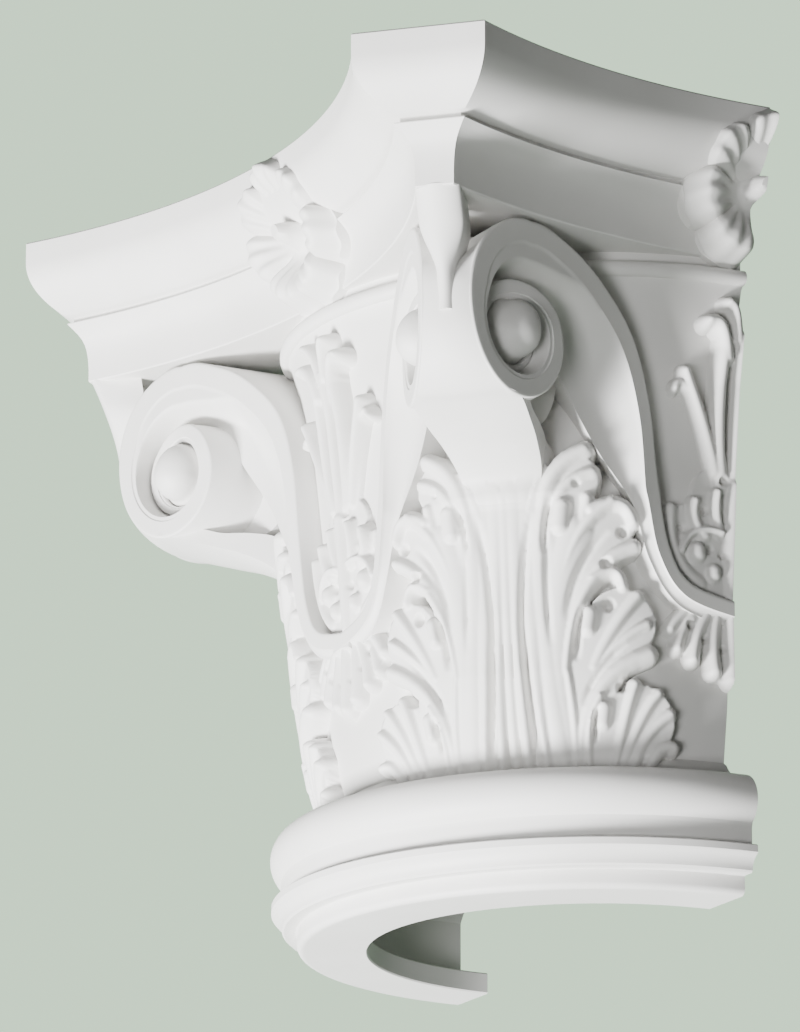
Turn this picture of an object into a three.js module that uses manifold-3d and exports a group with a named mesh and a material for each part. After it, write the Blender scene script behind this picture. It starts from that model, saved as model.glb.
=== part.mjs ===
// Half of a Corinthian capital for an engaged half column, cast as one hollow white shell.
// Millimetres, +Z up. The column's axis stands on the flat back, and the front faces -Y.
import * as THREE from 'three';
import { mergeVertices } from 'three/addons/utils/BufferGeometryUtils.js';
import Module from 'manifold-3d';

const wasm = await Module();
wasm.setup();

// Driving dimensions.
const totalHeight = 360;
const astragalRadius = 150;
const shaftBore = 105;
const neckHeight = 63;
const neckRadius = 120;
const abacusHeight = 66;
const abacusReach = 215;
const abacusHalfEdge = 171.5;
const abacusSag = 45.5;
const wall = 18;
const lipHeight = 10;
const leafHalfWidthAtNeck = 72;
const voluteTurn = 20;
const fleuronRadius = 36;

const abacusBottom = totalHeight - abacusHeight;
const radians = THREE.MathUtils.degToRad;
const { lerp, smoothstep } = THREE.MathUtils;

// Radius and height up the bell: almost straight from the neck, then flaring under the lip.
const bellCurve = [[neckRadius, neckHeight], [124, 90], [125.5, 140], [127.5, 190], [131.5, 235],
  [136.5, 264], [141.5, 282]];

function bellRadius(z) {
  const above = bellCurve.findIndex((point) => z <= point[1]);
  if (above === 0) return neckRadius;
  if (above < 0) return bellCurve[bellCurve.length - 1][0];
  const [[lowRadius, low], [highRadius, high]] = [bellCurve[above - 1], bellCurve[above]];
  return lerp(lowRadius, highRadius, (z - low) / (high - low));
}

// A smooth plane curve through points.
function curveThrough(points) {
  return new THREE.SplineCurve(points.map(([x, y]) => new THREE.Vector2(x, y)));
}

// Turns a closed three.js geometry, bent by an optional function, into an exact solid.
function toSolid(geometry, bend) {
  geometry.deleteAttribute('normal');
  geometry.deleteAttribute('uv');
  const merged = mergeVertices(geometry, 1e-5);
  const position = merged.attributes.position;
  const point = new THREE.Vector3();
  for (let i = 0; bend && i < position.count; i += 1) {
    point.fromBufferAttribute(position, i);
    const bent = bend(point);
    position.setXYZ(i, bent.x, bent.y, bent.z);
  }
  const triVerts = new Uint32Array(merged.index.array);
  if (signedVolume(position, triVerts) < 0) triVerts.reverse();
  const vertProperties = new Float32Array(position.array);
  return new wasm.Manifold(new wasm.Mesh({ numProp: 3, vertProperties, triVerts }));
}

function signedVolume(position, triangles) {
  const corners = [new THREE.Vector3(), new THREE.Vector3(), new THREE.Vector3()];
  let volume = 0;
  for (let i = 0; i < triangles.length; i += 3) {
    corners.forEach((corner, k) => corner.fromBufferAttribute(position, triangles[i + k]));
    volume += corners[0].dot(corners[1].clone().cross(corners[2])) / 6;
  }
  return volume;
}

// A slab of across x along cells, placed by place(u, v, w): u across, v along, w from back to front.
function slab(across, along, place) {
  const block = new THREE.BoxGeometry(1, 1, 1, across, along, 1);
  return toSolid(block, (p) => place(p.x + 0.5, p.y + 0.5, p.z + 0.5));
}

// A point from an angle round the axis in degrees, a radius and a height.
function around(angle, radius, z) {
  const turn = radians(angle);
  return new THREE.Vector3(radius * Math.cos(turn), radius * Math.sin(turn), z);
}

// A point from a face's own frame: out from the axis, sideways and up.
function onFace(faceAngle, out, sideways, z) {
  const turn = radians(faceAngle);
  const x = out * Math.cos(turn) - sideways * Math.sin(turn);
  const y = out * Math.sin(turn) + sideways * Math.cos(turn);
  return new THREE.Vector3(x, y, z);
}

// Ring mouldings and bell, as a profile of radius and height from the lower bed up.
function bodyProfile() {
  const torus = { radius: 137, z: 42, size: 13 };
  const profile = [[135, 0], [137.5, 3], [137.5, 9], [144, 9], [147, 13], [149, 18.5], [149, 21],
    [144.3, 21], [144.3, 29.5]];
  for (let step = 0; step <= 5; step += 1) {
    const turn = radians(-52 + step * 28.4);
    profile.push([torus.radius + torus.size * Math.cos(turn), torus.z + torus.size * Math.sin(turn)]);
  }
  profile.push([neckRadius + 3, neckHeight - 3], [neckRadius, neckHeight]);
  const lipBase = abacusBottom - 14;
  for (const z of [90, 190, 235, lipBase]) profile.push([bellRadius(z), z]);
  profile.push([bellRadius(lipBase) + 4, lipBase + 4], [bellRadius(lipBase) + 5, lipBase + 8]);
  profile.push([bellRadius(lipBase) + 3, lipBase + 11], [bellRadius(lipBase) - 2, lipBase + 12]);
  profile.push([bellRadius(lipBase) - 2, abacusBottom + 2]);
  return profile;
}

// The hollow follows the outside at a wall's thickness, above a lip that fits the shaft.
function hollowProfile() {
  const wide = astragalRadius - wall;
  const ceiling = abacusBottom - wall;
  return [[shaftBore, -5], [shaftBore, lipHeight], [wide, lipHeight], [wide, neckHeight - 21],
    [neckRadius - wall, neckHeight - 3], [bellRadius(235) - wall, ceiling]];
}

function revolve(profile, segments) {
  const [first, last] = [profile[0], profile[profile.length - 1]];
  const outline = [[0, first[1]], ...profile, [0, last[1]]];
  const points = outline.map(([radius, z]) => new THREE.Vector2(radius, z));
  const lathe = new THREE.LatheGeometry(points, segments);
  return toSolid(lathe, (p) => new THREE.Vector3(p.x, -p.z, p.y));
}

// Abacus profile: how far it steps in at each drop below the top bed.
function abacusProfile() {
  const [fasciaHeight, coveDepth, coveDrop] = [10.4, 56, 31];
  const profile = [[0, 0], [0, fasciaHeight]];
  for (let step = 1; step <= 5; step += 1) {
    const turn = radians(step * 10);
    profile.push([coveDepth * (1 - Math.cos(turn)), fasciaHeight + coveDrop * Math.sin(turn)]);
  }
  profile.push([24.5, 35], [24.5, 37.5], [22, 38.2]);
  profile.push([27, 42], [30.6, 45], [32.2, 49], [33, 55], [33, abacusHeight]);
  return profile;
}

// The abacus plan at one level: four hollow sides between cut-off corners.
function abacusOutline(inset, sideSteps) {
  const reach = abacusReach - inset;
  const halfEdge = abacusHalfEdge - 0.06 * inset;
  const sag = abacusSag - 0.16 * inset;
  const arcRadius = (halfEdge ** 2 + sag ** 2) / (2 * sag);
  const outline = [];
  for (const faceAngle of [0, 90, 180, 270]) {
    for (let step = 0; step <= sideSteps; step += 1) {
      const sideways = lerp(-halfEdge, halfEdge, step / sideSteps);
      const out = reach - sag + arcRadius - Math.sqrt(arcRadius ** 2 - sideways ** 2);
      outline.push(onFace(faceAngle, out, sideways, 0));
    }
  }
  return outline;
}

function abacus() {
  const sideSteps = 10;
  const profile = abacusProfile();
  const outlines = profile.map(([inset]) => abacusOutline(inset, sideSteps));
  const around4 = 4 * (sideSteps + 1);
  const drum = new THREE.CylinderGeometry(1, 1, profile.length - 1, around4, profile.length - 1);
  return toSolid(drum, (p) => {
    const level = Math.round((profile.length - 1) / 2 - p.y);
    const z = totalHeight - profile[level][1];
    if (Math.hypot(p.x, p.z) < 0.5) return new THREE.Vector3(0, 0, z);
    const turn = Math.atan2(p.x, p.z) / (2 * Math.PI);
    const index = Math.round(turn * around4 + around4) % around4;
    return outlines[level][index].clone().setZ(z);
  });
}

// The large leaf at a corner: a rising spine that leans out under the volutes, lobed edges and ribs.
const leafSpine = curveThrough([
  [124, neckHeight - 8], [132.5, 85], [139, 115], [143, 150], [147, 176], [155, 190], [170, 198],
  [186, 203],
]);

// Half the leaf's width at a height, with a notch between each pair of side lobes.
function leafHalfWidth(v, z) {
  const [notchHeight, notchSpacing, notchDepth] = [97, 45, 9];
  const taper = lerp(leafHalfWidthAtNeck, 50, (z - neckHeight) / 115);
  const notch = 0.5 + 0.5 * Math.cos((2 * Math.PI * (z - notchHeight)) / notchSpacing);
  return lerp(taper - notchDepth * notch, 21, smoothstep(v, 0.68, 0.84));
}

function cornerLeaf(angle) {
  const [ribHeight, edgeLift, tipThickness] = [2.2, 5, 13];
  return slab(8, 17, (u, v, w) => {
    const side = 2 * u - 1;
    const spine = leafSpine.getPoint(v);
    const slope = leafSpine.getTangent(v);
    const held = bellRadius(spine.y) + edgeLift;
    const ribs = ribHeight * Math.cos(4 * Math.PI * side) * (1 - v);
    const fall = 0.72 * Math.abs(side) ** 1.5 * (1 - 0.8 * smoothstep(v, 0.6, 1));
    const radius = lerp(spine.x, held, fall) + ribs;
    const backing = lerp(spine.x - held + 14, tipThickness, smoothstep(v, 0.6, 0.76));
    const depth = (1 - w) * backing;
    const halfWidth = leafHalfWidth(v, spine.y);
    const turn = angle + THREE.MathUtils.radToDeg((side * halfWidth) / spine.x);
    return around(turn, radius - depth * slope.y, spine.y + depth * slope.x);
  });
}

// A volute hangs under each end of each face, turned outwards to follow the hollow abacus.
const voluteEye = { out: 160, sideways: 123, z: 240 };

// The coil's outer radius at each quarter turn, from its top towards the corner.
const coil = curveThrough([51.5, 34, 31.5, 27, 24, 21].map((radius, quarter) => [quarter, radius]));

function coilRadius(turns) {
  return coil.getPoint((turns * 4) / 5).y;
}

// A point in the volute's own plane: towards the corner, up, and forward of its face.
function onVolute(face, hand, along, up, forward) {
  const turn = radians(voluteTurn);
  const out = voluteEye.out + along * Math.sin(turn) + forward * Math.cos(turn);
  const sideways = voluteEye.sideways + along * Math.cos(turn) - forward * Math.sin(turn);
  return onFace(face, out, hand * sideways, voluteEye.z + up);
}

// How far behind the volute's face the corner's own middle plane lies.
function depthToDiagonal(along) {
  const turn = radians(voluteTurn);
  const out = voluteEye.out + along * Math.sin(turn);
  const sideways = voluteEye.sideways + along * Math.cos(turn);
  return (out - sideways) / (Math.cos(turn) + Math.sin(turn));
}

// A point of the coil's outer edge in the corner's own frame: out from the axis, up and sideways.
function coilEdge(turns) {
  const along = coilRadius(turns) * Math.sin(2 * Math.PI * turns);
  const out = voluteEye.out + along * Math.sin(radians(voluteTurn));
  const sideways = voluteEye.sideways + along * Math.cos(radians(voluteTurn));
  const height = voluteEye.z + coilRadius(turns) * Math.cos(2 * Math.PI * turns);
  return new THREE.Vector3((out + sideways) * Math.SQRT1_2, height, (out - sideways) * Math.SQRT1_2);
}

// The leaf's tip sweeps up between the two volutes' edges as the corner's broad cheek.
const cheekSweep = new THREE.CatmullRomCurve3([
  new THREE.Vector3(165, 196, 20), new THREE.Vector3(181, 201, 23),
  ...[0.49, 0.37, 0.25, 0.12, 0.01].map(coilEdge),
]);

function cheek(angle) {
  return slab(2, 9, (u, v, w) => {
    const side = 2 * u - 1;
    const front = cheekSweep.getPoint(v);
    const slope = cheekSweep.getTangent(v);
    const depth = (1 - w) * lerp(9, 26, smoothstep(v, 0.2, 0.35)) + 0.5;
    return onFace(angle, front.x - depth * slope.y, side * front.z, front.y + depth * slope.x);
  });
}

function volute(face, hand) {
  const recess = 8;
  const eyeRadius = 13;
  const largestDisc = 46;
  const steps = 16;
  const shape = new THREE.Shape();
  for (let step = 0; step < steps; step += 1) {
    const turn = (2 * Math.PI * step) / steps;
    const radius = Math.min(coilRadius(step / steps), largestDisc);
    shape.lineTo(radius * Math.sin(turn), radius * Math.cos(turn));
  }
  shape.closePath();
  const disc = toSolid(new THREE.ExtrudeGeometry(shape, { depth: 1, bevelEnabled: false }), (p) => {
    const back = depthToDiagonal(p.x) + 1;
    return onVolute(face, hand, p.x, p.y, lerp(-back, -recess, p.z));
  });
  const rim = slab(1, 18, (u, v, w) => {
    const turns = lerp(-0.02, 1.15, v);
    const radius = coilRadius(Math.max(turns, 0)) - u * lerp(11, 7, v);
    const along = radius * Math.sin(2 * Math.PI * turns);
    const back = lerp(depthToDiagonal(along) + 1, recess + 2, smoothstep(v, 0.75, 0.85));
    return onVolute(face, hand, along, radius * Math.cos(2 * Math.PI * turns), -(1 - w) * back);
  });
  const eye = toSolid(new THREE.SphereGeometry(eyeRadius, 8, 5), (p) =>
    onVolute(face, hand, p.x, p.y, 0.8 * p.z - recess));
  return disc.add(rim).add(eye);
}

// The band that rises from the middle of a face and runs up into the volute: its outer edge and the
// inner edge of its channel, sideways and up.
const bandOuter = curveThrough([
  [-8, 135.5], [22, 142], [34, 158], [40, 188], [45, 225], [54.5, 253], [71, 272], [92, 285.5],
  [119, 291],
]);
const bandInner = curveThrough([
  [-8, 123.5], [26, 131], [43, 150], [51, 176], [64, 196], [76, 218], [91, 239], [101, 254],
  [120, 264],
]);
const bandFront = 131.5;

// The bands lie flat near a face's middle and turn out with the volute's plane.
function faceOut(sideways) {
  const leanFromMiddle = (sideways - voluteEye.sideways) * Math.tan(radians(voluteTurn));
  const lean = voluteEye.out + leanFromMiddle - bandFront;
  return bandFront + 0.5 * (lean + Math.sqrt(lean * lean + 36));
}

function band(face, hand) {
  const channel = -8;
  const section = [[0, 0], [0.32, 0], [0.42, channel], [0.85, channel], [1, 0]];
  return slab(section.length - 1, 13, (u, v, w) => {
    const [share, step] = section[Math.round(u * (section.length - 1))];
    const place = bandOuter.getPoint(v).lerp(bandInner.getPoint(v), share);
    const front = faceOut(place.x) + step * smoothstep(v, 0.25, 0.5);
    const back = Math.sqrt(Math.max(bellRadius(place.y) ** 2 - place.x ** 2, 0)) - 7;
    const held = Math.min(Math.max(back, place.x - 0.5), front - 8);
    return onFace(face, lerp(held, front, w), hand * place.x, place.y);
  });
}

// A tapered tongue hangs between two volutes under the abacus corner.
function tongue(angle) {
  const [lowest, tipOut, topOut, crown] = [242, 229.5, 244.5, 4.5];
  return slab(2, 4, (u, v, w) => {
    const side = 2 * u - 1;
    const halfWidth = lerp(4.2, 10.6, smoothstep(v, 0.3, 0.75));
    const front = lerp(tipOut, topOut, v ** 1.7) + crown * (1 - side ** 2);
    const z = lerp(lowest, abacusBottom + 2, v);
    return onFace(angle, lerp(neckRadius + 8, front, w), side * halfWidth, z);
  });
}

// A slab laid on the bell at a face's middle: half width and lift come from the height.
function onBell(face, [low, high], [across, along], halfWidth, lift) {
  return slab(across, along, (u, v, w) => {
    const side = 2 * u - 1;
    const z = lerp(low, high, v);
    const radius = bellRadius(z) + lerp(-6, lift(v, side), w);
    const turn = THREE.MathUtils.radToDeg((side * halfWidth(v)) / bellRadius(z));
    return around(face + turn, radius, z);
  });
}

// Leaf tip drooping under the band, calyx in the band's bend, and the stalk that bears the flower.
function faceMiddle(face) {
  const droop = onBell(face, [99, 136], [4, 5],
    (v) => 12 + 18 * Math.sin(Math.PI * Math.min(0.2 + 0.75 * v, 1)) + 3 * Math.cos(9 * v),
    (v, side) => 3 + 6 * Math.sin(Math.PI * (0.15 + 0.7 * v)) * (1 - 0.7 * side ** 2));
  const calyx = onBell(face, [141, 196], [4, 5],
    (v) => 15 + 17 * Math.sin(Math.PI * (0.1 + 0.6 * v)),
    (v, side) => 3 + 7 * Math.sin(Math.PI * (0.15 + 0.7 * v)) * (1 - 0.6 * side ** 2));
  const stalk = onBell(face, [188, 276], [4, 6],
    (v) => 7 + 15 * smoothstep(v, 0.05, 0.55) - 12 * smoothstep(v, 0.62, 0.75),
    (v, side) => 7 + 5 * v - 3 * side ** 2);
  return droop.add(calyx).add(stalk);
}

// The flower on the abacus, leaning out at its top, with a boss and radial petals.
function fleuron(face) {
  const petals = 7;
  const [centreOut, centreHeight, lean, thickness] = [147, 324, 0.34, 18];
  return toSolid(new THREE.SphereGeometry(1, 21, 5), (p) => {
    const turn = Math.atan2(p.y, p.x);
    const spread = Math.hypot(p.x, p.y);
    const radius = fleuronRadius * spread * (1 + 0.06 * Math.cos(petals * turn) * spread);
    const up = radius * Math.sin(turn);
    const boss = 5 * Math.max(1 - 3.2 * spread, 0);
    const out = centreOut + lean * up + (thickness + boss) * p.z;
    return onFace(face, out, radius * Math.cos(turn), centreHeight + up * 0.98);
  });
}

// Everything behind the flat back and above or below the beds is cut away.
function cuttingBlock(low, high) {
  const size = new THREE.Vector3().subVectors(high, low);
  const centre = new THREE.Vector3().addVectors(low, high).multiplyScalar(0.5);
  return toSolid(new THREE.BoxGeometry(size.x, size.y, size.z), (p) => p.clone().add(centre));
}

function halfCapital() {
  let solid = revolve(bodyProfile(), 38).add(abacus());
  for (const angle of [-45, -135]) {
    solid = solid.add(cornerLeaf(angle)).add(cheek(angle)).add(tongue(angle));
  }
  for (const [face, hand] of [[0, -1], [-90, 1], [-90, -1], [180, 1]]) {
    solid = solid.add(volute(face, hand)).add(band(face, hand));
  }
  for (const face of [0, -90, 180]) {
    solid = solid.add(faceMiddle(face)).add(fleuron(face));
  }
  const kept = cuttingBlock(new THREE.Vector3(-300, -300, 0), new THREE.Vector3(300, 0, totalHeight));
  return solid.subtract(revolve(hollowProfile(), 40)).intersect(kept);
}

function toGeometry(solid) {
  const mesh = solid.getMesh();
  const geometry = new THREE.BufferGeometry();
  geometry.setAttribute('position', new THREE.BufferAttribute(mesh.vertProperties, 3));
  geometry.setIndex(new THREE.BufferAttribute(mesh.triVerts, 1));
  return geometry;
}

const plaster = new THREE.MeshStandardMaterial({ color: 0xe9e8e6, roughness: 0.75, metalness: 0 });
const capital = new THREE.Mesh(toGeometry(halfCapital()), plaster);
capital.name = 'half_capital';
capital.position.y = abacusReach / 2;

const group = new THREE.Group();
group.add(capital);

export default group;
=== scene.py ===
"""Looks for the half Corinthian capital: a white cast plaster shell with crisp acanthus ornament.

Lengths below are millimetres from the column's axis and the lower bed; placing turns them into metres.
"""
import math

import bmesh
import bpy
from mathutils import Matrix, Vector


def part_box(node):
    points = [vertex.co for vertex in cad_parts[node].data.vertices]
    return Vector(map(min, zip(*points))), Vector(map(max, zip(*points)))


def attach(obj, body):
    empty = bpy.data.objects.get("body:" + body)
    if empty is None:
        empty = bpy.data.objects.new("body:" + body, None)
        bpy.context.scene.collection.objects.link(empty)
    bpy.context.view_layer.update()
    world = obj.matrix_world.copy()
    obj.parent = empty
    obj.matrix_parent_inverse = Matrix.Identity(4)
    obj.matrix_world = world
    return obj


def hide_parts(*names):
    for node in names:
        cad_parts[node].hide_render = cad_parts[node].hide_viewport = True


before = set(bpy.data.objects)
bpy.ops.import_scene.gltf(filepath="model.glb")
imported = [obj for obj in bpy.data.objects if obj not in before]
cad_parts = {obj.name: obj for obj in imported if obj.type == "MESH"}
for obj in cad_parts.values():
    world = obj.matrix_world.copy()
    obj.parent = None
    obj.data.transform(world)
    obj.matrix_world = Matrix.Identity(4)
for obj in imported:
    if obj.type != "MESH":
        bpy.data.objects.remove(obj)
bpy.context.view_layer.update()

NODE = "half_capital"
MM = 0.001
_, node_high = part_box(NODE)
BACK = node_high.y
HEIGHT = node_high.z / MM
REACH = node_high.x / MM

ABACUS_HEIGHT = 66.0
ABACUS_BOTTOM = HEIGHT - ABACUS_HEIGHT
ABACUS_HALF_EDGE = 171.5
ABACUS_SAG = 45.5
NECK_HEIGHT = 63.0
NECK_RADIUS = 120.0
# radius and height up the outside of the bell
BELL_CURVE = [(120, 63), (124, 90), (125.5, 140), (127.5, 190), (131.5, 235), (136.5, 264), (141.5, 282)]
WALL = 18.0
SHAFT_BORE = 105.0
RING_RADIUS = 150.0
LIP_HEIGHT = 10.0
FLEURON_RADIUS = 36.0
FLEURON_OUT, FLEURON_HEIGHT = 147.0, 324.0
VOLUTE_OUT, VOLUTE_SIDEWAYS, VOLUTE_EYE_HEIGHT = 160.0, 123.0, 240.0
VOLUTE_TURN = math.radians(20)
# the right-hand corner's direction in degrees; the front face lies at -90 and the right-hand one at 0
CORNER = -45
# metres
TOUCHING = 1e-6
# how far each kind of piece is cut in front of the back plane, so that no two cut ends share one plane
ABACUS_TRIM, BAND_TRIM, CALYX_TRIM, FLEURON_TRIM = 0.1, 0.25, 0.4, 0.55


def lerp(a, b, t):
    return a + (b - a) * t


def smoothstep(x, low, high):
    t = min(max((x - low) / (high - low), 0.0), 1.0)
    return t * t * (3 - 2 * t)


def soft_maximum(a, b, reach):
    """The larger of two lengths, with the crossing between them rounded over."""
    share = max(reach - abs(a - b), 0.0) / reach
    return max(a, b) + share * share * reach / 4


def soft_minimum(a, b, reach):
    """The smaller of two lengths, with the crossing between them rounded over."""
    return -soft_maximum(-a, -b, reach)


def passing(p, t):
    """A smooth way from the second to the third of four points or lengths, t from 0 to 1."""
    return 0.5 * (2 * p[1] + (p[2] - p[0]) * t + (2 * p[0] - 5 * p[1] + 4 * p[2] - p[3]) * t * t
                  + (3 * p[1] - p[0] - 3 * p[2] + p[3]) * t ** 3)


def curve_through(points, v):
    """A smooth curve through points, v from 0 to 1."""
    last = len(points) - 1
    spot = min(max(v, 0.0), 1.0) * last
    i = min(int(spot), last - 1)
    return passing([Vector(points[min(max(k, 0), last)]) for k in (i - 1, i, i + 1, i + 2)], spot - i)


def bell_radius(z):
    """The bell rises almost straight from the neck and flares under its lip."""
    for (r0, z0), (r1, z1) in zip(BELL_CURVE, BELL_CURVE[1:]):
        if z <= z1:
            return r0 + (r1 - r0) * (z - z0) / (z1 - z0)
    return BELL_CURVE[-1][0]


def around(angle, radius, z):
    """A point from an angle in degrees round the axis."""
    turn = math.radians(angle)
    return Vector((radius * math.cos(turn), radius * math.sin(turn), z))


def on_face(face, out, sideways, z):
    """A point from a face's own frame: out from the axis, sideways and up."""
    turn = math.radians(face)
    x = out * math.cos(turn) - sideways * math.sin(turn)
    y = out * math.sin(turn) + sideways * math.cos(turn)
    return Vector((x, y, z))


# ---------------------------------------------------------------- material

def linear(code):
    """An sRGB hex colour as linear RGBA."""
    channels = [int(code[i:i + 2], 16) / 255 for i in (1, 3, 5)]
    return [c / 12.92 if c <= 0.04045 else ((c + 0.055) / 1.055) ** 2.4 for c in channels] + [1.0]


def add_node(tree, kind, settings=None, inputs=None, links=None):
    """Adds a node with its settings and input values, and links other nodes' outputs into it."""
    node = tree.nodes.new(kind)
    for name, value in (settings or {}).items():
        setattr(node, name, value)
    for name, value in (inputs or {}).items():
        node.inputs[name].default_value = value
    for name, (source, output) in (links or {}).items():
        tree.links.new(source.outputs[output], node.inputs[name])
    return node


def cast_plaster():
    """Fine gypsum plaster from a smooth mould: white, matte, faintly clouded, with a skin of fine grain."""
    material = bpy.data.materials.new("cast_gypsum_plaster")
    material.use_nodes = True
    tree = material.node_tree
    tree.nodes.clear()
    place = add_node(tree, "ShaderNodeTexCoord")
    cloud = add_node(tree, "ShaderNodeTexNoise", inputs={"Scale": 1 / (60 * MM), "Detail": 3.0},
                     links={"Vector": (place, "Object")})
    tint = add_node(tree, "ShaderNodeValToRGB", links={"Fac": (cloud, "Fac")})
    tint.color_ramp.elements[0].position = 0.3
    tint.color_ramp.elements[0].color = linear("#DBDAD7")
    tint.color_ramp.elements[1].position = 0.7
    tint.color_ramp.elements[1].color = linear("#E3E2E0")
    grain = add_node(tree, "ShaderNodeTexNoise", inputs={"Scale": 1 / (1.6 * MM), "Detail": 2.0},
                     links={"Vector": (place, "Object")})
    skin = add_node(tree, "ShaderNodeBump", inputs={"Strength": 0.06, "Distance": 0.3 * MM},
                    links={"Height": (grain, "Fac")})
    shader = add_node(tree, "ShaderNodeBsdfPrincipled", inputs={"Roughness": 0.55, "IOR": 1.5},
                      links={"Base Color": (tint, "Color"), "Normal": (skin, "Normal")})
    add_node(tree, "ShaderNodeOutputMaterial", links={"Surface": (shader, "BSDF")})
    return material


PLASTER = cast_plaster()


# ---------------------------------------------------------------- pieces

def to_piece(name, bm, sharp=40.0, turned=0.0, flipped=False, trim=0.0):
    """Turns a shape about the axis, cuts it flat a trim in front of the back and makes it a piece of the
    casting. Edges sharper than an angle in degrees stay crisp."""
    bmesh.ops.remove_doubles(bm, verts=bm.verts[:], dist=1e-5)
    placing = Matrix.Translation((0, BACK / MM, 0)) @ Matrix.Rotation(math.radians(turned), 4, "Z")
    if flipped:
        placing = placing @ Matrix.Scale(-1, 4, (1, 0, 0))
    bmesh.ops.transform(bm, matrix=Matrix.Scale(MM, 4) @ placing, verts=bm.verts[:])
    cut = BACK - trim * MM
    if max(v.co.y for v in bm.verts) > cut + TOUCHING:
        bmesh.ops.bisect_plane(bm, geom=bm.verts[:] + bm.edges[:] + bm.faces[:], dist=TOUCHING,
                               plane_co=(0, cut, 0), plane_no=(0, 1, 0), clear_outer=True)
        rim = [edge for edge in bm.edges if edge.is_boundary]
        bmesh.ops.holes_fill(bm, edges=rim)
    bmesh.ops.recalc_face_normals(bm, faces=bm.faces[:])
    mesh = bpy.data.meshes.new(name)
    bm.to_mesh(mesh)
    bm.free()
    mesh.polygons.foreach_set("use_smooth", [True] * len(mesh.polygons))
    mesh.set_sharp_from_angle(angle=math.radians(sharp))
    mesh.materials.append(PLASTER)
    piece = bpy.data.objects.new(name, mesh)
    bpy.context.collection.objects.link(piece)
    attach(piece, "root")
    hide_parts(NODE)
    return piece


def slab(across, along, back, front, keep=None):
    """A closed slab between two surfaces given over u across and v along, both from 0 to 1."""
    bm = bmesh.new()
    bmesh.ops.create_grid(bm, x_segments=across, y_segments=along, size=0.5)
    if keep:
        loose = [v for v in bm.verts if not keep(v.co.x + 0.5, v.co.y + 0.5)]
        bmesh.ops.delete(bm, geom=loose, context="VERTS")
    places = [(v, v.co.x + 0.5, v.co.y + 0.5) for v in bm.verts]
    raised = bmesh.ops.extrude_face_region(bm, geom=bm.faces[:], use_keep_orig=True)["geom"]
    fronts = [item for item in raised if isinstance(item, bmesh.types.BMVert)]
    for v in fronts:
        v.co = front(v.co.x + 0.5, v.co.y + 0.5)
    for v, u, w in places:
        v.co = back(u, w)
    return bm


# ---------------------------------------------------------------- turned body and abacus

def arc(centre, radius, start, end, steps):
    """Points of a profile's arc, from one angle in degrees to another."""
    turns = [math.radians(lerp(start, end, i / steps)) for i in range(steps + 1)]
    return [(centre[0] + radius * math.cos(t), centre[1] + radius * math.sin(t)) for t in turns]


def ring_profile():
    """Lower bed, small step, flared moulding, fillet, round torus and the hollow up to the neck."""
    profile = [(SHAFT_BORE, 0.6), (SHAFT_BORE + 0.6, 0), (134, 0)]
    profile += arc((134.5, 3), 3, -80, 0, 5)
    profile += [(137.5, 8.6), (138.2, 9), (143.5, 9)]
    profile += arc((152.5, 9.6), 8, 178, 118, 6)
    profile += [(149.4, 17.4), (149.4, 20.4), (148.6, 21), (144.3, 21.2), (144.3, 29.5)]
    profile += arc((137, 42), 13, -52, 92, 22)
    profile += arc((135.5, 70), 15, -95, -150, 6)
    return profile


def bell_profile():
    """The bell's long curve, its small rounded lip and the top that enters the abacus."""
    lip = ABACUS_BOTTOM - 12
    steps = 40
    heights = [lerp(NECK_HEIGHT + 1, lip - 2, i / steps) for i in range(steps + 1)]
    head = bell_radius(lip)
    profile = [(bell_radius(z), z) for z in heights]
    profile += arc((head + 1.5, lip + 3.5), 3.6, -100, 100, 10)
    profile += [(head - 1, lip + 8.2), (head - 1, ABACUS_BOTTOM + 3)]
    return profile


def hollow_profile():
    """The inside, from the top down: ceiling, wall, wide recess behind the ring, and the bore's lip."""
    wide = RING_RADIUS - WALL
    ceiling = ABACUS_BOTTOM - WALL
    cove = 6
    ceiling_radius = bell_radius(ceiling) - WALL - cove
    profile = [(0, ABACUS_BOTTOM + 3), (0, ceiling), (ceiling_radius, ceiling)]
    profile += arc((ceiling_radius, ceiling - cove), cove, 80, 0, 4)
    profile += [(NECK_RADIUS - WALL, NECK_HEIGHT - 3)]
    profile += [(wide - 3, NECK_HEIGHT - 20), (wide, NECK_HEIGHT - 24), (wide, LIP_HEIGHT)]
    profile += [(SHAFT_BORE + 0.6, LIP_HEIGHT), (SHAFT_BORE, LIP_HEIGHT - 0.6)]
    return profile


def turned_body():
    """Rings and bell in one turned shell, half a turn about the axis."""
    bm = bmesh.new()
    outline = ring_profile() + bell_profile() + hollow_profile()
    corners = [bm.verts.new((radius, 0, z)) for radius, z in outline]
    section = bm.faces.new(corners)
    bmesh.ops.spin(bm, geom=[section], cent=(0, 0, 0), axis=(0, 0, -1), angle=math.pi, steps=120)
    return to_piece("bell_and_rings", bm, sharp=28)


def abacus_profile():
    """Step in and drop below the top bed: fascia, ovolo, groove and cavetto."""
    fascia, steps = 10.4, 14
    profile = [(0.8, 0.0), (0.0, 0.8), (0.0, fascia)]
    for step in range(1, steps + 1):
        turn = math.radians(step * 50 / steps)
        profile.append((56 * (1 - math.cos(turn)), fascia + 31 * math.sin(turn)))
    profile += [(21.6, 34.7), (25.2, 35.2), (25.2, 37.6), (22.0, 37.9), (21.8, 38.4)]
    profile += [(24.6, 40.6), (27.3, 42.9), (29.4, 45.2), (30.9, 47.8), (31.9, 50.8), (32.6, 54.4)]
    profile += [(33.0, 60.0), (33.0, ABACUS_HEIGHT - 0.6), (33.6, ABACUS_HEIGHT)]
    return profile


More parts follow.
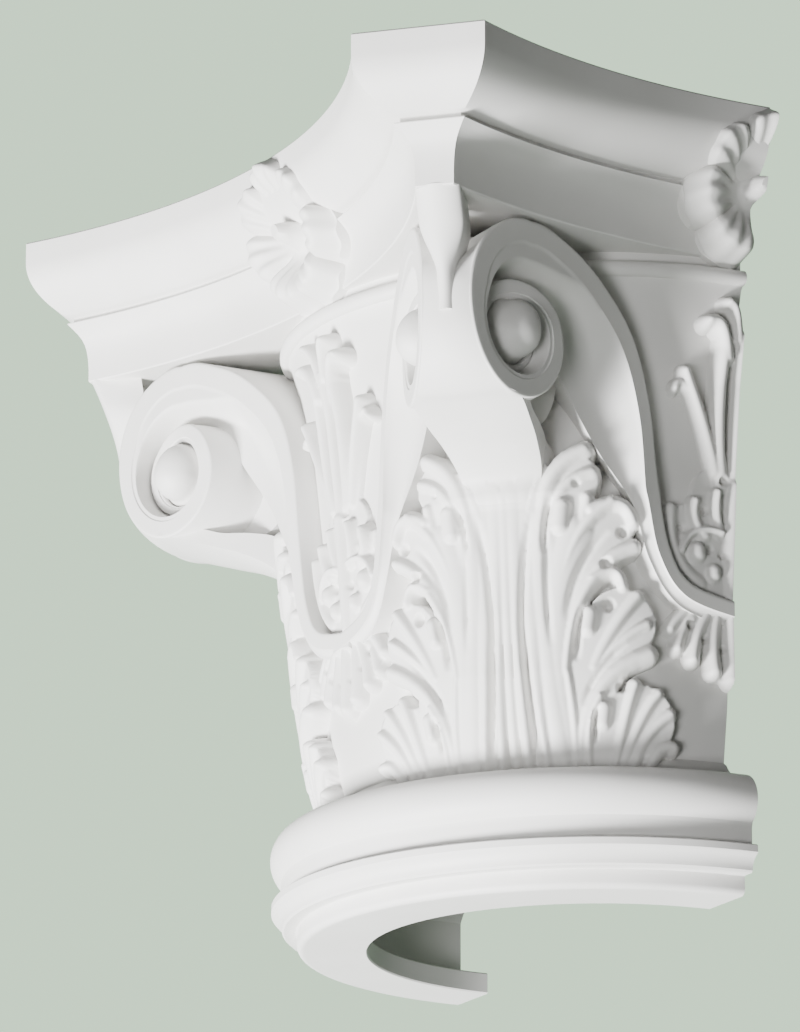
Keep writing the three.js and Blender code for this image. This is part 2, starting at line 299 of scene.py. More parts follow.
def abacus_edge(inset, u):
    """A point on the half plan, from the right-hand back corner round to the left: three hollow sides
    joined by two cut corners."""
    reach = REACH - inset
    half = ABACUS_HALF_EDGE - 0.06 * inset
    sag = ABACUS_SAG - 0.16 * inset
    sweep = (half * half + sag * sag) / (2 * sag)
    corner_share = 0.03
    side_share = (1 - 2 * corner_share) / 4
    stops = [0, side_share, side_share + corner_share, 3 * side_share + corner_share,
             3 * side_share + 2 * corner_share, 1]
    faces = [(0, 0, -half), None, (-90, half, -half), None, (180, half, 0)]
    index = max(i for i in range(5) if u >= stops[i] - 1e-9)
    share = (u - stops[index]) / (stops[index + 1] - stops[index])

    def on_side(face, sideways):
        out = reach - sag + sweep - math.sqrt(sweep * sweep - sideways * sideways)
        return on_face(face, out, sideways, 0)

    if faces[index]:
        face, start, end = faces[index]
        return on_side(face, lerp(start, end, share))
    before, after = faces[index - 1], faces[index + 1]
    return on_side(before[0], before[2]).lerp(on_side(after[0], after[1]), share)


def abacus():
    """The hollow-sided slab that crowns the capital, cut flat at the back."""
    profile = abacus_profile()
    bm = bmesh.new()
    across, along = 200, len(profile) - 1
    bmesh.ops.create_grid(bm, x_segments=across, y_segments=along, size=0.5)
    rows = [[None] * (across + 1) for _ in profile]
    for v in bm.verts:
        u, level = v.co.x + 0.5, round((v.co.y + 0.5) * along)
        inset, drop = profile[level]
        place = abacus_edge(inset, u)
        v.co = (place.x, place.y, HEIGHT - drop)
        rows[level][round(u * across)] = v
    bm.faces.new(rows[0])
    bm.faces.new(rows[-1])
    bm.faces.new([row[0] for row in rows] + [row[-1] for row in reversed(rows)])
    return to_piece("abacus", bm, sharp=25, trim=ABACUS_TRIM)


# ---------------------------------------------------------------- carved relief

class Carving:
    """A relief over a flat plan: low pads, rounded fingers, eggs, creases and drilled eyes."""

    SAMPLES = 9
    SOFT_EDGE = 1.5
    UNCARVED = -9.0

    def __init__(self):
        self.strokes = []
        self.cuts = []

    def spine(self, root, bend, tip):
        """Points along a stroke that leaves its root towards the bend and ends at the tip."""
        points = []
        for i in range(self.SAMPLES + 1):
            t = i / self.SAMPLES
            a, b, c = (1 - t) ** 2, 2 * t * (1 - t), t * t
            points.append(tuple(a * root[k] + b * bend[k] + c * tip[k] for k in (0, 1)))
        return points

    def box(self, points, edge):
        """The part of the plan that a stroke can reach."""
        xs, ys = [p[0] for p in points], [p[1] for p in points]
        return min(xs) - edge, max(xs) + edge, min(ys) - edge, max(ys) + edge

    def finger(self, root, bend, tip, widths, heights, base=0.0, flat=1.0):
        """A rounded stroke on a curved spine: half widths and heights at root and tip, over a base."""
        points = self.spine(root, bend, tip)
        covered = self.box(points, max(widths) + self.SOFT_EDGE)
        self.strokes.append((covered, points, widths, heights, base, flat))

    def pad(self, root, bend, tip, widths, base=0.0):
        """Flat ground that joins a lobe's fingers."""
        self.finger(root, bend, tip, widths, (0.0, 0.0), base)

    def egg(self, centre, size, height, lean=0.0):
        """An egg standing in a hollow of the leaf."""
        half = max(size[1] - size[0], 0.1)
        dx, dy = math.sin(lean) * half, math.cos(lean) * half
        self.finger((centre[0] - dx, centre[1] - dy), centre, (centre[0] + dx, centre[1] + dy),
                    (size[0], size[0]), (height, height), flat=0.5)

    def crease(self, root, bend, tip, width, depth):
        """A sharp groove that dies out at both ends."""
        points = self.spine(root, bend, tip)
        self.cuts.append((self.box(points, width), points, width, depth, True))

    def eye(self, centre, radius, depth):
        """A drilled hollow between two lobes."""
        points = [centre] * (self.SAMPLES + 1)
        self.cuts.append((self.box(points, radius), points, radius, depth, False))

    def nearest(self, points, widths, x, y):
        """Distance to a spine as a share of its width there, and how far along it."""
        best, share = math.inf, 0.0
        for i in range(self.SAMPLES):
            (ax, ay), (bx, by) = points[i], points[i + 1]
            dx, dy = bx - ax, by - ay
            k = ((x - ax) * dx + (y - ay) * dy) / (dx * dx + dy * dy + 1e-9)
            k = min(max(k, 0.0), 1.0)
            t = (i + k) / self.SAMPLES
            q = math.hypot(x - ax - k * dx, y - ay - k * dy) / lerp(widths[0], widths[1], t)
            if q < best:
                best, share = q, t
        return best, share

    def at(self, x, y):
        """Height of the relief and how far the point is covered by it, 0 to 1."""
        height, cover = self.UNCARVED, 0.0
        for (x0, x1, y0, y1), points, widths, heights, base, flat in self.strokes:
            if x0 < x < x1 and y0 < y < y1:
                q, t = self.nearest(points, widths, x, y)
                edge = self.SOFT_EDGE / lerp(widths[0], widths[1], t)
                if q < 1 + edge:
                    cover = max(cover, smoothstep(1 + edge - q, 0, edge))
                    rise = lerp(heights[0], heights[1], t) * max(1 - q * q, 0.0) ** flat
                    height = max(height, base + rise)
        for (x0, x1, y0, y1), points, width, depth, fades in self.cuts:
            if x0 < x < x1 and y0 < y < y1:
                q, t = self.nearest(points, (width, width), x, y)
                if q < 1:
                    fade = min(4 * t, 4 * (1 - t), 1.0) if fades else 1.0
                    height -= depth * fade * ((1 - q) if fades else (1 - q * q) ** 1.5)
        return height, cover


SUNK_EDGE = 3.0


def carved(carving, plan, steps, ground, place):
    """A closed relief: the plan's covered cells, raised over the ground, with edges sunk into the bell."""
    (x0, x1), (y0, y1) = plan
    across, along = steps
    heights = {}
    for i in range(across + 1):
        for j in range(along + 1):
            x, y = lerp(x0, x1, i / across), lerp(y0, y1, j / along)
            height, cover = carving.at(abs(x), y)
            heights[i, j] = (lerp(-SUNK_EDGE, ground(x, y) + height, cover), cover)

    def cell(u, v):
        return round(u * across), round(v * along)

    def kept(u, v):
        i, j = cell(u, v)
        return any(heights.get((i + a, j + b), (0, 0))[1] > 0 for a in (-1, 0, 1) for b in (-1, 0, 1))

    def back(u, v):
        return place(lerp(x0, x1, u), lerp(y0, y1, v), -2 * SUNK_EDGE)

    def front(u, v):
        return place(lerp(x0, x1, u), lerp(y0, y1, v), heights[cell(u, v)][0])

    return slab(across, along, back, front, kept)


def on_bell(x, y, lift):
    """The plan wrapped on the front of the bell: x round it, y up it."""
    radius = bell_radius(y)
    return around(-90 + math.degrees(x / (radius + 7)), radius + lift, y)


# ---------------------------------------------------------------- corner leaves

# radius and height along the leaf's middle rib, from its foot to where its tip leans out
RIB = [(124, 55), (130.5, 78), (136, 100), (140, 125), (143, 150),
       (146.5, 173), (152, 187), (165, 196), (181, 201.5)]
TIP_START = 5
TIP_HALF_WIDTHS = [15, 19.5, 22, 24]
# how far round the coils, in turns, the cheek's edges are taken from them
CHEEK_TURNS = (0.49, 0.43, 0.37, 0.31, 0.25, 0.18, 0.12, 0.06, 0.01)
LEAF_FOOT, LEAF_HEAD = 54.0, 206.0
LEAF_HALF_WIDTH = 78.0
MOST_RIB_LIFT = 22.0
EDGE_LIFT = 5.5


def rib_lift(z):
    """How far the leaf's middle stands off the bell at a height."""
    for (r0, z0), (r1, z1) in zip(RIB, RIB[1:]):
        if z <= z1:
            return lerp(r0, r1, (z - z0) / (z1 - z0)) - bell_radius(z)
    return RIB[-1][0] - bell_radius(z)


# that lift at every whole millimetre of height, worked out once
RIB_LIFTS = [rib_lift(z) for z in range(int(HEIGHT))]


def leaf_ground(x, z):
    """The leaf's body above the bell: high at the middle rib, close to the bell at its edges."""
    low, high = int(z), int(z) + 1
    middle = lerp(RIB_LIFTS[low], RIB_LIFTS[high], z - low)
    fall = 0.74 * min(abs(x) / 64, 1) ** 1.35
    return lerp(min(middle, MOST_RIB_LIFT), EDGE_LIFT, fall)


def leaf_carving():
    """One half of the leaf: flutes that fan from the foot into four lobes. Each lobe has two or more
    fingers and a drilled eye, and three of them have an egg. The other half mirrors it."""
    c = Carving()
    # middle stalk, with its flutes
    c.pad((0, 50), (0, 120), (0, 198), (13, 19), -0.5)
    c.finger((0, 50), (0, 110), (0, 178), (2.8, 1.6), (2.4, 0.1))
    c.finger((6.5, 50), (4.0, 105), (4.4, 180), (3.2, 2.6), (4.0, 0.1))
    c.finger((15, 50), (8.6, 100), (12, 186), (4.2, 4.6), (3.8, 0.1))
    c.crease((12.5, 54), (7.4, 92), (6.4, 128), 2.6, 4.0)
    c.crease((6.4, 112), (6.6, 145), (12, 172), 2.4, 3.0)
    # broad stem that carries the first and second lobes
    c.pad((22, 50), (20, 120), (28, 172), (12, 12), -0.5)
    c.finger((22.5, 50), (17.5, 90), (15.5, 150), (6.4, 5.4), (2.6, 2.0))
    c.finger((15.5, 120), (13.5, 160), (21, 186), (5.0, 4.4), (1.8, 2.6))
    c.finger((24, 66), (16, 120), (31, 163), (5.0, 8.5), (1.6, 3.0))
    c.crease((19, 110), (16.5, 140), (18.5, 160), 2.0, 2.2)
    # first lobe, beside the tip
    c.pad((19, 160), (22, 178), (30, 187), (9, 11), 0.8)
    c.finger((16.5, 166), (17.5, 192), (35, 199.5), (3.4, 4.2), (2.0, 4.6))
    c.finger((18, 160), (22, 186), (38, 189.5), (2.6, 3.4), (1.6, 4.2))
    c.finger((25, 150), (34, 162), (35.5, 177.5), (3.0, 3.2), (1.4, 3.6))
    c.egg((24.5, 169), (4.0, 8.6), 4.6, 0.1)
    c.crease((17, 152), (17, 168), (21, 178), 2.0, 4.0)
    c.eye((31, 184), 2.0, 2.5)
    # second lobe, the broad one that laps over the band
    c.pad((26, 128), (32, 156), (46, 168), (8, 11), 0.8)
    c.finger((22, 126), (26, 164), (46, 176), (2.2, 3.6), (1.2, 5.2), 0.5)
    c.finger((37, 172), (52, 181), (55.5, 167.5), (3.6, 3.4), (4.6, 4.6), 0.5)
    c.finger((28, 122), (35, 149), (55.5, 157), (3.4, 3.6), (1.4, 4.8), 0.5)
    c.crease((25.5, 122), (28.5, 150), (45, 163), 2.4, 2.6)
    c.eye((50.5, 163), 3.0, 5.0)
    c.eye((43, 148), 3.0, 5.5)
    # third lobe
    c.pad((31, 62), (36, 104), (50, 122), (7, 15.5), 0.8)
    c.finger((27.5, 50), (29, 82), (24.8, 102), (2.6, 2.2), (2.0, 2.6))
    c.finger((24.8, 100), (27, 127), (38, 141.5), (2.2, 3.2), (2.6, 4.6))
    c.finger((37, 141), (48.5, 150.5), (50.5, 138), (3.2, 2.8), (4.6, 4.0))
    c.egg((35.5, 122), (3.5, 7.2), 4.4, 0.15)
    c.crease((29.5, 104), (29.5, 118), (33, 129), 2.2, 4.4)
    c.eye((43.8, 129.5), 3.4, 6.0)
    c.finger((37, 102), (45, 120), (57, 134), (2.6, 3.5), (1.6, 4.8))
    c.finger((36, 94), (46, 114), (61, 121.5), (2.4, 3.0), (1.2, 4.6))
    c.finger((29.5, 62), (33.5, 98), (62, 108.5), (2.8, 4.6), (1.8, 5.0))
    c.crease((32, 84), (39, 103), (52, 113), 2.2, 2.6)
    # fourth lobe, at the foot
    c.pad((37, 48), (46, 72), (58, 79), (7, 15.5), 0.8)
    c.finger((34.5, 50), (30.5, 74), (39.5, 88.5), (2.4, 2.8), (2.0, 4.2))
    c.egg((41, 80), (3.4, 7.0), 4.2, 0.15)
    c.crease((36.5, 68), (36, 78), (38.5, 84), 1.8, 4.0)
    c.eye((49.5, 93), 2.8, 5.0)
    c.finger((43, 50), (49, 76), (55.5, 94), (2.8, 3.3), (1.6, 4.4))
    c.finger((47, 52), (55, 78), (66, 90.5), (2.6, 3.0), (1.4, 4.2))
    c.finger((51, 50), (56, 72), (71, 81.5), (2.8, 3.4), (1.6, 4.4))
    c.finger((58, 48), (63, 70), (72, 67), (2.8, 3.4), (1.6, 4.2))
    return c


LEAF_CARVING = leaf_carving()
LEAF_WRAP = 8.0


def leaf_out(sideways, z):
    """How far out from the axis the carved leaf stands, a little to one side of its middle rib."""
    radius = bell_radius(z)
    angle = math.asin(sideways / (radius + 20))
    x = angle * (radius + LEAF_WRAP)
    return (radius + leaf_ground(x, z) + LEAF_CARVING.at(abs(x), z)[0]) * math.cos(angle)


def corner_leaf(name, flipped=False):
    """The acanthus leaf at a corner, up to where its tip curls away."""

    def place(x, z, lift):
        radius = bell_radius(z)
        return around(CORNER + math.degrees(x / (radius + LEAF_WRAP)), radius + lift, z)

    plan = (-LEAF_HALF_WIDTH, LEAF_HALF_WIDTH), (LEAF_FOOT, LEAF_HEAD)
    bm = carved(LEAF_CARVING, plan, (195, 190), leaf_ground, place)
    return to_piece(name, bm, sharp=80, flipped=flipped)


# ---------------------------------------------------------------- volutes and bands

# the coil's outer radius at each quarter turn, from its top towards the corner
COIL_RADII = [51.5, 34.0, 31.5, 27.0, 24.0, 21.0, 18.5, 16.0, 14.0]
COIL_ENTRY_RADIUS = 58.0
COIL_TURNS = 1.9
COIL_LEAD = 0.012
# the band's outer edge and the inner edge of its channel, as (sideways, height) from the face's middle
BAND_OUTER = [(-8, 135.5), (22, 142), (34, 158), (40, 188), (45, 225),
              (54.5, 253), (71, 272), (92, 285.5), (119, 291)]
BAND_INNER = [(-8, 123.5), (26, 131), (43, 150), (51, 176), (64, 196),
              (76, 218), (91, 239), (101, 254), (120, 264)]
BAND_FRONT = 131.5
BAND_EASE = 6.0
BAND_SUNK = 7.0
BAND_SHARE = 0.36
STRIP_THICKNESS = 18.0
RIM_WIDTH, LAST_RIM_WIDTH = 10.5, 6.0
CHANNEL_DEPTH, FIRST_CHANNEL_DEPTH = 15.0, 2.5
INNER_TURN_DROP = 8.0
EDGE_ROUNDING, EDGE_FALL = 1.4, 0.9
# stops across the strip: the first half of them over its rim, the rest over its channel
ACROSS_STOPS = [0, 0.02, 0.05, 0.09, 0.14, 0.2, 0.3, 0.4, 0.46, 0.49]
ACROSS_STOPS += [0.5 + 0.5 * i / 26 for i in range(27)]
EYE_RADIUS = 12.8
CORE_RADIUS = 44.0
CORE_DEPTH = 27.0
CORE_FLOOR = 34.0


def volute_plan(along, forward=0.0):
    """A place in the volute's plane, towards the corner and forward of it, as out and sideways on a face."""
    out = VOLUTE_OUT + along * math.sin(VOLUTE_TURN) + forward * math.cos(VOLUTE_TURN)
    sideways = VOLUTE_SIDEWAYS + along * math.cos(VOLUTE_TURN) - forward * math.sin(VOLUTE_TURN)
    return out, sideways


def on_volute(face, hand, along, up, forward):
    """A point in the volute's plane: towards the corner, up, and forward of its face."""
    out, sideways = volute_plan(along, forward)
    return on_face(face, out, hand * sideways, VOLUTE_EYE_HEIGHT + up)


def depth_to_diagonal(along):
    """How far behind the volute's face the corner's middle plane lies."""
    out, sideways = volute_plan(along)
    return (out - sideways) / (math.cos(VOLUTE_TURN) + math.sin(VOLUTE_TURN))


def face_out(sideways):
    """The bands lie flat near a face's middle and turn out with the volute's plane."""
    lean = VOLUTE_OUT + (sideways - VOLUTE_SIDEWAYS) * math.tan(VOLUTE_TURN) - BAND_FRONT
    return BAND_FRONT + 0.5 * (lean + math.hypot(lean, BAND_EASE))


def coil_radius(turns):
    """Outer radius of the coil after a number of whole turns."""
    radii = [COIL_ENTRY_RADIUS] + COIL_RADII + [COIL_RADII[-1]] * 2
    spot = min(turns * 4, len(COIL_RADII) - 1)
    i = math.floor(spot)
    return passing([radii[min(max(k + 1, 0), len(radii) - 1)] for k in (i - 1, i, i + 1, i + 2)], spot - i)


def coil_sides(turns):
    """Outer and inner edge of the coil after a number of turns, as (sideways, height)."""
    across = math.sin(2 * math.pi * turns) * math.cos(VOLUTE_TURN)
    up = math.cos(2 * math.pi * turns)
    radii = coil_radius(turns), coil_radius(turns + 1)
    return [Vector((VOLUTE_SIDEWAYS + radius * across, VOLUTE_EYE_HEIGHT + radius * up)) for radius in radii]


def coil_edge(turns):
    """A point of the coil's outer edge in the corner's own frame: out from the axis, height, sideways."""
    radius = coil_radius(turns)
    out, sideways = volute_plan(radius * math.sin(2 * math.pi * turns))
    height = VOLUTE_EYE_HEIGHT + radius * math.cos(2 * math.pi * turns)
    return (out + sideways) / math.sqrt(2), height, (out - sideways) / math.sqrt(2)


def turns_at(v):
    """How many turns of the coil the strip has made, v from 0 to 1 along it."""
    return max(v - BAND_SHARE, 0.0) / (1 - BAND_SHARE) * COIL_TURNS


def strip_edges(v):
    """Outer and inner edge of the strip that is first the band and then the coil."""
    if v >= BAND_SHARE:
        return coil_sides(turns_at(v) - COIL_LEAD)
    # one point of the coil is added to each edge, so that the band runs into the coil smoothly
    spot = v / BAND_SHARE * (len(BAND_OUTER) - 1) / len(BAND_OUTER)
    lead_outer, lead_inner = coil_sides(0.125)
    return curve_through(BAND_OUTER + [lead_outer], spot), curve_through(BAND_INNER + [lead_inner], spot)


def rim_width(turns, width):
    """The rim narrows round the coil and never takes more than its share of the strip."""
    return min(lerp(RIM_WIDTH, LAST_RIM_WIDTH, smoothstep(turns, 0.3, 1.3)), 0.62 * width)


def strip_height(across, width, v):
    """The strip's section: a flat rim with a rounded outer edge, and a channel that falls away from it.
    Round the volute the channel starts with a narrow shelf, and the second turn lies lower."""
    turns = turns_at(v)
    rim = rim_width(turns, width)
    level = -INNER_TURN_DROP * smoothstep(turns, 0.8, 1.15)
    edge = 1.0 - min(across / EDGE_ROUNDING, 1.0)
    height = level - EDGE_FALL * (1 - math.sqrt(1 - edge * edge))
    if across <= rim:
        return height
    depth = lerp(FIRST_CHANNEL_DEPTH, CHANNEL_DEPTH, smoothstep(v, 0.08, 0.24))
    depth *= lerp(1.0, 0.5, smoothstep(turns, 0.1, 0.7))
    share = (across - rim) / max(width - rim, 0.1)
    shelf = 0.45 * smoothstep(v, 0.28, 0.36)
    slope = lerp(0.8, 0.5, smoothstep(v, 0.2, 0.3))
    t = min(max(share - shelf, 0.0) / slope, 1.0)
    fall = lerp(math.sin(0.5 * math.pi * t), t * t * (3 - 2 * t), smoothstep(v, 0.2, 0.32))
    return height - 0.6 * min(share * 12, 1.0) - depth * fall


def volute_strip(name, face, hand, flipped=False):
    """The channelled band that rises from the middle of a face and coils into the volute."""
    steps = len(ACROSS_STOPS) - 1

    def spread(u, v):
        outer, inner = strip_edges(v)
        width = (inner - outer).length
        rim_share = rim_width(turns_at(v), width) / width
        stop = ACROSS_STOPS[round(u * steps)]
        share = stop * 2 * rim_share if stop <= 0.5 else lerp(rim_share, 1.0, stop * 2 - 1)
        return outer.lerp(inner, share), share * width, width

    def front(u, v):
        place, across, width = spread(u, v)
        height = strip_height(across, width, v)
        lean = VOLUTE_TURN * smoothstep(place.x, 50, 80)
        out = face_out(place.x) + height * math.cos(lean)
        return on_face(face, out, hand * (place.x - height * math.sin(lean)), place.y)

    def back(u, v):
        place, _, _ = spread(u, v)
        shallow = face_out(place.x) - STRIP_THICKNESS
        in_bell = math.sqrt(max(bell_radius(place.y) ** 2 - place.x ** 2, 0)) - BAND_SUNK
        deep = min(max(in_bell, place.x - 0.5), shallow)
        tucked = 10.0 * u * smoothstep(v, 0.08, 0.16) * (1 - smoothstep(v, 0.3, 0.36))
        out = lerp(deep, shallow, smoothstep(v, 0.62, 0.66))
        return on_face(face, out, hand * (place.x - tucked), place.y)

    bm = slab(steps, 330, back, front)
    return to_piece(name, bm, sharp=44, flipped=flipped, trim=BAND_TRIM)


def volute_core(name, face, hand, flipped=False):
    """The volute's body behind its coil, back to the corner's middle. It swells towards the band."""
    bm = bmesh.new()
    steps = 96
    swell_start, swell_end = 0.5, 0.95
    rim = []
    for i in range(steps):
        turns = i / steps
        sine, cosine = math.sin(2 * math.pi * turns), math.cos(2 * math.pi * turns)
        radius = min(coil_radius(turns), CORE_RADIUS) - 1.0
        if swell_start < turns < swell_end:
            swell = math.sin(math.pi * (turns - swell_start) / (swell_end - swell_start)) ** 0.8
            radius = soft_minimum(radius + 27.0 * swell, CORE_FLOOR / max(-cosine, 0.1), 12.0)
        rim.append(bm.verts.new((radius * sine, radius * cosine, 0)))
    plate = bm.faces.new(rim)
    raised = bmesh.ops.extrude_face_region(bm, geom=[plate], use_keep_orig=True)["geom"]
    fronts = {item for item in raised if isinstance(item, bmesh.types.BMVert)}
    for v in bm.verts:
        along, up = v.co.x, v.co.y
        deep = depth_to_diagonal(along)
        forward = -min(CORE_DEPTH, deep - 1.0) if v in fronts else -deep - 0.5
        v.co = on_volute(face, hand, along, up, forward)
    return to_piece(name, bm, sharp=50, flipped=flipped)


def volute_eye(name, face, hand, flipped=False):
    """The egg at the middle of the coil, drawn out a little towards its top."""
    bm = bmesh.new()
    bmesh.ops.create_uvsphere(bm, u_segments=48, v_segments=28, radius=EYE_RADIUS)
    for v in bm.verts:
        along, up, forward = v.co
        skirt = 1.0 + 0.4 * smoothstep(-forward, 0.0, 8.0)
        along, up = along * skirt, up * skirt * (1.18 if up > 0 else 0.95)
        v.co = on_volute(face, hand, 0.92 * along - 0.1 * max(up, 0), up - 0.5, forward - 6.0)
    return to_piece(name, bm, flipped=flipped)


# ---------------------------------------------------------------- the leaf's tip and the corner

def leaf_tip(name, flipped=False):
    """The leaf's tip leans out under the volutes and sweeps up between their edges as the broad cheek."""
    path = [(*point, half) for point, half in zip(RIB[TIP_START:], TIP_HALF_WIDTHS)]
    leaf_points = len(path)
    path += [coil_edge(turns) for turns in CHEEK_TURNS]
    leaf_share = (leaf_points - 0.5) / (len(path) - 1.5)

    def surface(u, v, depth):
        side = 2 * u - 1
        out, z, half = curve_through(path, v)
        ahead = (curve_through(path, v + 0.01) - curve_through(path, v - 0.01)).xy.normalized()
        on_leaf = 1 - smoothstep(v, leaf_share - 0.12, leaf_share + 0.08)
        crown = lerp(1.5, -12.0, smoothstep(v, 0.74, 0.94)) * (1 - side * side)
        leaf_lift = 2.7 * smoothstep(v, 0.0, 0.2) - 2.4 - 2.2 * abs(side) ** 2.4
        lift = lerp(crown - 0.4, leaf_lift, on_leaf) - depth
        sideways = side * (half - 0.3)
        out, z = out + lift * ahead.y, z - lift * ahead.x
        if on_leaf > 0 and depth == 0:
            # the carved flutes run on over the tip's foot and die out where the tip rises above them
            proud = lerp(-0.8, 0.3, smoothstep(v, 0, 0.025) * (1 - side ** 6))
            carved_out = leaf_out(sideways, min(z, LEAF_HEAD - 2)) + proud - 3 * (1 - on_leaf)
            out = soft_maximum(out, carved_out, 2.0)
        return on_face(CORNER, out, sideways, z)

    def back(u, v):
        return surface(u, v, lerp(14, 7, smoothstep(v, 0.1, 0.25)) + 2 * smoothstep(v, 0.36, 0.5))

    bm = slab(48, 170, back, lambda u, v: surface(u, v, 0.0))
    return to_piece(name, bm, sharp=50, flipped=flipped)


def tongue(name, flipped=False):
    """The smooth rounded tongue that grows out of the cheek and spreads to the abacus corner."""
    low, high = 242.0, ABACUS_BOTTOM + 1

    def section(u, v, inward):
        side = 2 * u - 1
        z = lerp(low, high, v)
        half = lerp(4.2, 10.6, smoothstep(z, 258, 282)) - 0.15 * inward
        front = lerp(229.5, 244.5, ((z - low) / (high - low)) ** 1.7) + 4.5 * (1 - side * side) ** 0.7
        return on_face(CORNER, front - inward, side * half, z)

    bm = slab(32, 40, lambda u, v: section(u, v, lerp(8, 22, v)), lambda u, v: section(u, v, 0.0))
    return to_piece(name, bm, sharp=60, flipped=flipped)


# ---------------------------------------------------------------- ornament at a face's middle

def middle_carving():
    """Half of a face's middle: drooping leaf tip, calyx with its eggs, and the stalk of the flower."""
    c = Carving()
    # drooping tip under the band, with its lobes
    c.pad((0, 134), (6, 124), (2, 108), (14, 9), 3.0)
    c.pad((8, 132), (20, 128), (24, 118), (8, 7), 3.0)
    c.finger((0, 134), (0, 116), (0, 101), (4.2, 4.8), (3.0, 4.5), 3.0)
    c.finger((7, 132), (11, 116), (9, 104), (3.4, 4.4), (2.0, 4.5), 3.0)
    c.finger((11, 132), (19, 122), (20, 108.5), (3.4, 4.0), (2.0, 4.5), 3.0)
    c.finger((14, 133), (25, 127), (27.5, 113), (3.0, 3.4), (2.0, 4.0), 3.0)
    c.finger((14, 134), (26, 131), (31, 121.5), (3.0, 3.2), (2.0, 3.5), 3.0)
    c.eye((21.5, 124), 2.4, 5.0)
    c.eye((14.5, 118), 2.4, 5.0)
    c.eye((5, 114), 2.0, 4.0)
    # calyx in the band's bend: a hood over two eggs, and three feathered tips
    c.pad((0, 142), (12, 150), (6, 184), (14, 15), 2.5)
    c.pad((12, 146), (26, 154), (24, 172), (8, 8), 2.5)
    c.finger((0, 138), (0, 164), (0, 190), (4.0, 5.2), (3.0, 5.5), 2.5)
    c.finger((16, 144), (33, 152), (31.5, 177), (4.0, 3.4), (2.0, 5.5), 2.5)
    c.finger((26, 158), (22, 172), (6, 168), (2.2, 2.2), (4.5, 4.5), 2.5)
    c.finger((14, 166), (22, 172), (20, 181), (3.4, 3.2), (3.0, 6.0), 2.5)
    c.finger((6, 168), (10, 176), (9, 186), (3.2, 3.0), (3.0, 6.0), 2.5)
    c.egg((18, 158), (5.0, 5.8), 7.5)
    c.egg((9.5, 149), (4.4, 5.2), 7.0)
    c.eye((5.5, 192), 2.6, 5.5)
    c.eye((11.5, 160), 2.6, 5.0)
    c.eye((14, 177.5), 2.2, 5.0)
    c.eye((25.5, 169), 2.6, 5.5)
    c.eye((4.8, 158), 2.0, 4.5)
    # stalk, side leaflet and curled bud of the flower
    c.pad((0, 186), (0, 220), (0, 258), (8, 9), 3.0)
    c.finger((0, 188), (0, 220), (0, 258), (3.2, 4.4), (3.5, 6.0), 3.0)
    c.finger((5, 190), (11, 214), (8, 254), (3.8, 4.6), (3.0, 6.5), 3.0)
    c.pad((9, 198), (15, 216), (22, 230), (5, 4), 2.5)
    c.finger((9, 196), (17, 220), (27, 240), (3.4, 3.8), (3.0, 7.0), 2.5)
    c.finger((20, 226), (30, 240), (31.5, 232), (2.8, 2.4), (4.0, 6.0), 2.5)
    c.finger((7, 248), (10, 267), (18, 263), (4.8, 3.8), (6.5, 9.0), 3.0)
    c.finger((2, 256), (4, 271), (9, 272), (4.0, 3.6), (6.0, 8.0), 3.0)
    c.eye((17.5, 244), 2.6, 6.0)
    c.eye((14.5, 256), 2.4, 6.0)
    c.eye((12, 267.5), 2.0, 5.0)
    c.crease((4.0, 200), (5.2, 226), (4.6, 248), 2.0, 4.0)
    return c


def face_middle(name, turned):
    """Calyx, flower stalk and drooping tip, carved on the bell under the fleuron."""
    bm = carved(middle_carving(), ((-38, 38), (82, 282)), (96, 250), lambda x, z: 0.0, on_bell)
    return to_piece(name, bm, sharp=80, turned=turned, trim=CALYX_TRIM)


def fleuron(name, turned):
    """The flower on the abacus: a cup of seven curled petals round a small boss, leaning out at its top."""
    petals = 7
    first_petal = math.pi / (2 * petals)
    top = HEIGHT - 0.4
    bm = bmesh.new()
    bmesh.ops.create_uvsphere(bm, u_segments=210, v_segments=72, radius=1.0)
    for v in bm.verts:
        spread = min(math.hypot(v.co.x, v.co.y), 1.0)
        angle = math.atan2(v.co.y, v.co.x)
        turn = angle + first_petal
        petal = abs(math.cos(petals * 0.5 * turn)) ** 0.6
        radius = FLEURON_RADIUS * spread * (1.04 - 0.16 * (1 - petal) * spread)
        across, up = radius * math.cos(angle), radius * math.sin(angle)
        vein = 0.8 * math.cos(3 * petals * turn) * smoothstep(spread, 0.3, 0.6)
        cup = lerp(7.0, 19.5, smoothstep(spread, 0.2, 0.76)) - 12.0 * smoothstep(spread, 0.8, 1.0)
        curl = (5.0 * petal - 4.0) * smoothstep(spread, 0.25, 0.6)
        boss = 13.0 * (1 - smoothstep(spread, 0.08, 0.2))
        forward = -20.0 if v.co.z < 0 else cup + curl + vein + boss
        out = FLEURON_OUT + 0.34 * up + forward
        v.co = on_face(-90, out, across, min(FLEURON_HEIGHT + 0.98 * up, top))
    return to_piece(name, bm, sharp=60, turned=turned, trim=FLEURON_TRIM)


# ---------------------------------------------------------------- the capital

turned_body()
abacus()
for hand_name, is_left in (("right", False), ("left", True)):
    corner_leaf(f"corner_leaf_{hand_name}", is_left)
    leaf_tip(f"leaf_tip_and_cheek_{hand_name}", is_left)
    tongue(f"corner_tongue_{hand_name}", is_left)
    for place_name, face, hand in (("side", 0, -1), ("front", -90, 1)):
        label = f"{place_name}_{hand_name}"
        volute_strip(f"volute_band_and_coil_{label}", face, hand, is_left)
        volute_core(f"volute_core_{label}", face, hand, is_left)
        volute_eye(f"volute_eye_{label}", face, hand, is_left)
for place_name, turned in (("front", 0), ("right", 90), ("left", -90)):
    face_middle(f"calyx_and_stalk_{place_name}", turned)
    fleuron(f"fleuron_{place_name}", turned)


# ---------------------------------------------------------------- stage, lights and camera

